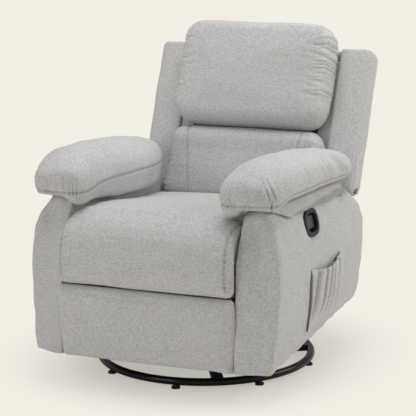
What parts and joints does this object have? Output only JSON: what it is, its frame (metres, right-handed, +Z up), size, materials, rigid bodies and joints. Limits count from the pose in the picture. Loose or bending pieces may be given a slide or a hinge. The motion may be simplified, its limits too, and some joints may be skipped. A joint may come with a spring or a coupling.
{
  "type": "swivel rocker recliner",
  "caption": "Upholstered armchair that swivels on a ring base, rocks on curved cams and reclines, with a folding footrest, pillow arms, side pocket and oval release handle",
  "frame": {"origin": "On the floor, under the middle of the chair's width and depth; the swivel axis stands 44 mm in front of it.", "axes": "+Z up, -Y the way the sitter faces, +X the sitter's left."},
  "size_m": [0.8486, 1.0756, 1.0521],
  "materials": {
    "ring_black": "gloss black powder coat on bent steel tube",
    "steel_black": "satin black paint",
    "glide_rubber": "black moulded glide",
    "race_steel": "ground bearing steel",
    "zinc_steel": "zinc plated",
    "spring_steel": "drawn spring wire",
    "mechanism_steel": "dark grey coated pressed sheet",
    "hard_wood": "planed beech",
    "plywood": "sanded plywood",
    "felt": "needled felt",
    "webbing": "elastic webbing",
    "linen": "light warm-grey heathered woven cloth",
    "bezel_plastic": "glossy black",
    "cup_plastic": "matt black",
    "lever_plastic": "satin dark grey"
  },
  "bodies": {
    "base": {"floor_ring": "ring_black", "cross_arms": "ring_black", "glide_feet": "glide_rubber", "hub_plate": "steel_black", "lower_race": "race_steel", "bearing_balls": "race_steel"},
    "turntable": {"upper_race": "race_steel", "turntable_plate": "steel_black", "king_bolt": "zinc_steel", "cross_channels": "steel_black", "rocker_rail_left": "hard_wood", "rocker_rail_right": "hard_wood", "lower_spring_brackets": "steel_black"},
    "chassis": {"rocker_springs": "spring_steel", "upper_spring_brackets": "steel_black", "rocker_cam_left": "hard_wood", "rocker_cam_right": "hard_wood", "base_angles": "steel_black", "side_plate_left": "mechanism_steel", "side_plate_right": "mechanism_steel", "mount_boards": "plywood", "tube_hangers": "mechanism_steel", "seat_box": "plywood", "seat_springs": "spring_steel", "seat_felt": "felt", "seat_cushion": "linen", "arm_frame_left": "plywood", "arm_frame_right": "plywood", "arm_panel_left": "linen", "arm_panel_right": "linen", "arm_pillow_left": "linen", "arm_pillow_right": "linen", "arm_flap_left": "linen", "arm_flap_right": "linen", "side_pocket": "linen", "handle_bezel": "bezel_plastic", "handle_cup": "cup_plastic"},
    "lever": {"release_lever": "lever_plastic"},
    "drive": {"drive_tube": "zinc_steel", "rear_links": "mechanism_steel"},
    "front_links": {"front_link_left": "mechanism_steel", "front_link_right": "mechanism_steel"},
    "outer_links": {"outer_link_left": "mechanism_steel", "outer_link_right": "mechanism_steel"},
    "inner_links": {"inner_link_left": "mechanism_steel", "inner_link_right": "mechanism_steel"},
    "footrest": {"footrest_brackets": "mechanism_steel", "footrest_board": "plywood", "footrest_pad": "linen"},
    "back": {"back_brackets": "mechanism_steel", "back_frame": "plywood", "back_webbing": "webbing", "rear_cover": "linen", "wing_left": "linen", "wing_right": "linen", "lumbar_cushion": "linen", "head_cushion": "linen"}
  },
  "joints": [
    {"name": "swivel", "type": "hinge", "parent": "base", "child": "turntable", "pos_m": [0, -0.044, 0.06], "axis": [0, 0, 1], "continuous": true},
    {"name": "rock", "type": "hinge", "parent": "turntable", "child": "chassis", "pos_m": [0, -0.044, 0.3952], "axis": [1, 0, 0], "range_deg": [-9, 7], "stiffness_Nm_per_rad": 350, "springref_deg": -0.56, "deforming": ["rocker_springs"]},
    {"name": "recline", "type": "hinge", "parent": "chassis", "child": "back", "pos_m": [0, 0.21, 0.335], "axis": [-1, 0, 0], "range_deg": [0, 42]},
    {"name": "footrest_extend", "type": "hinge", "parent": "chassis", "child": "front_links", "pos_m": [0, -0.385, 0.292], "axis": [-1, 0, 0], "range_deg": [0, 156.5]},
    {"name": "drive_turn", "type": "hinge", "parent": "chassis", "child": "drive", "pos_m": [0, -0.33, 0.281], "axis": [-1, 0, 0], "range_deg": [0, 150.2]},
    {"name": "outer_link_turn", "type": "hinge", "parent": "front_links", "child": "outer_links", "pos_m": [0, -0.22276, 0.26193], "axis": [-1, 0, 0], "range_deg": [-136.5, 0]},
    {"name": "inner_link_turn", "type": "hinge", "parent": "front_links", "child": "inner_links", "pos_m": [0, -0.18245, 0.25446], "axis": [-1, 0, 0], "range_deg": [-134.2, 0]},
    {"name": "footrest_turn", "type": "hinge", "parent": "outer_links", "child": "footrest", "pos_m": [0, -0.44399, 0.30293], "axis": [-1, 0, 0], "range_deg": [0, 77.4]},
    {"name": "release_lever", "type": "hinge", "parent": "chassis", "child": "lever", "pos_m": [0.38789, -0.1072, 0.50025], "axis": [-0.225, 0, 0.9744], "range_deg": [0, 35], "stiffness_Nm_per_rad": 0.6, "springref_deg": -17.19}
  ],
  "couplings": [
    {"joint": "drive_turn", "follows": "footrest_extend", "ratio": 0.95781},
    {"joint": "outer_link_turn", "follows": "footrest_extend", "ratio": -0.86995},
    {"joint": "inner_link_turn", "follows": "footrest_extend", "ratio": -0.85513},
    {"joint": "footrest_turn", "follows": "footrest_extend", "ratio": 0.49257}
  ]
}
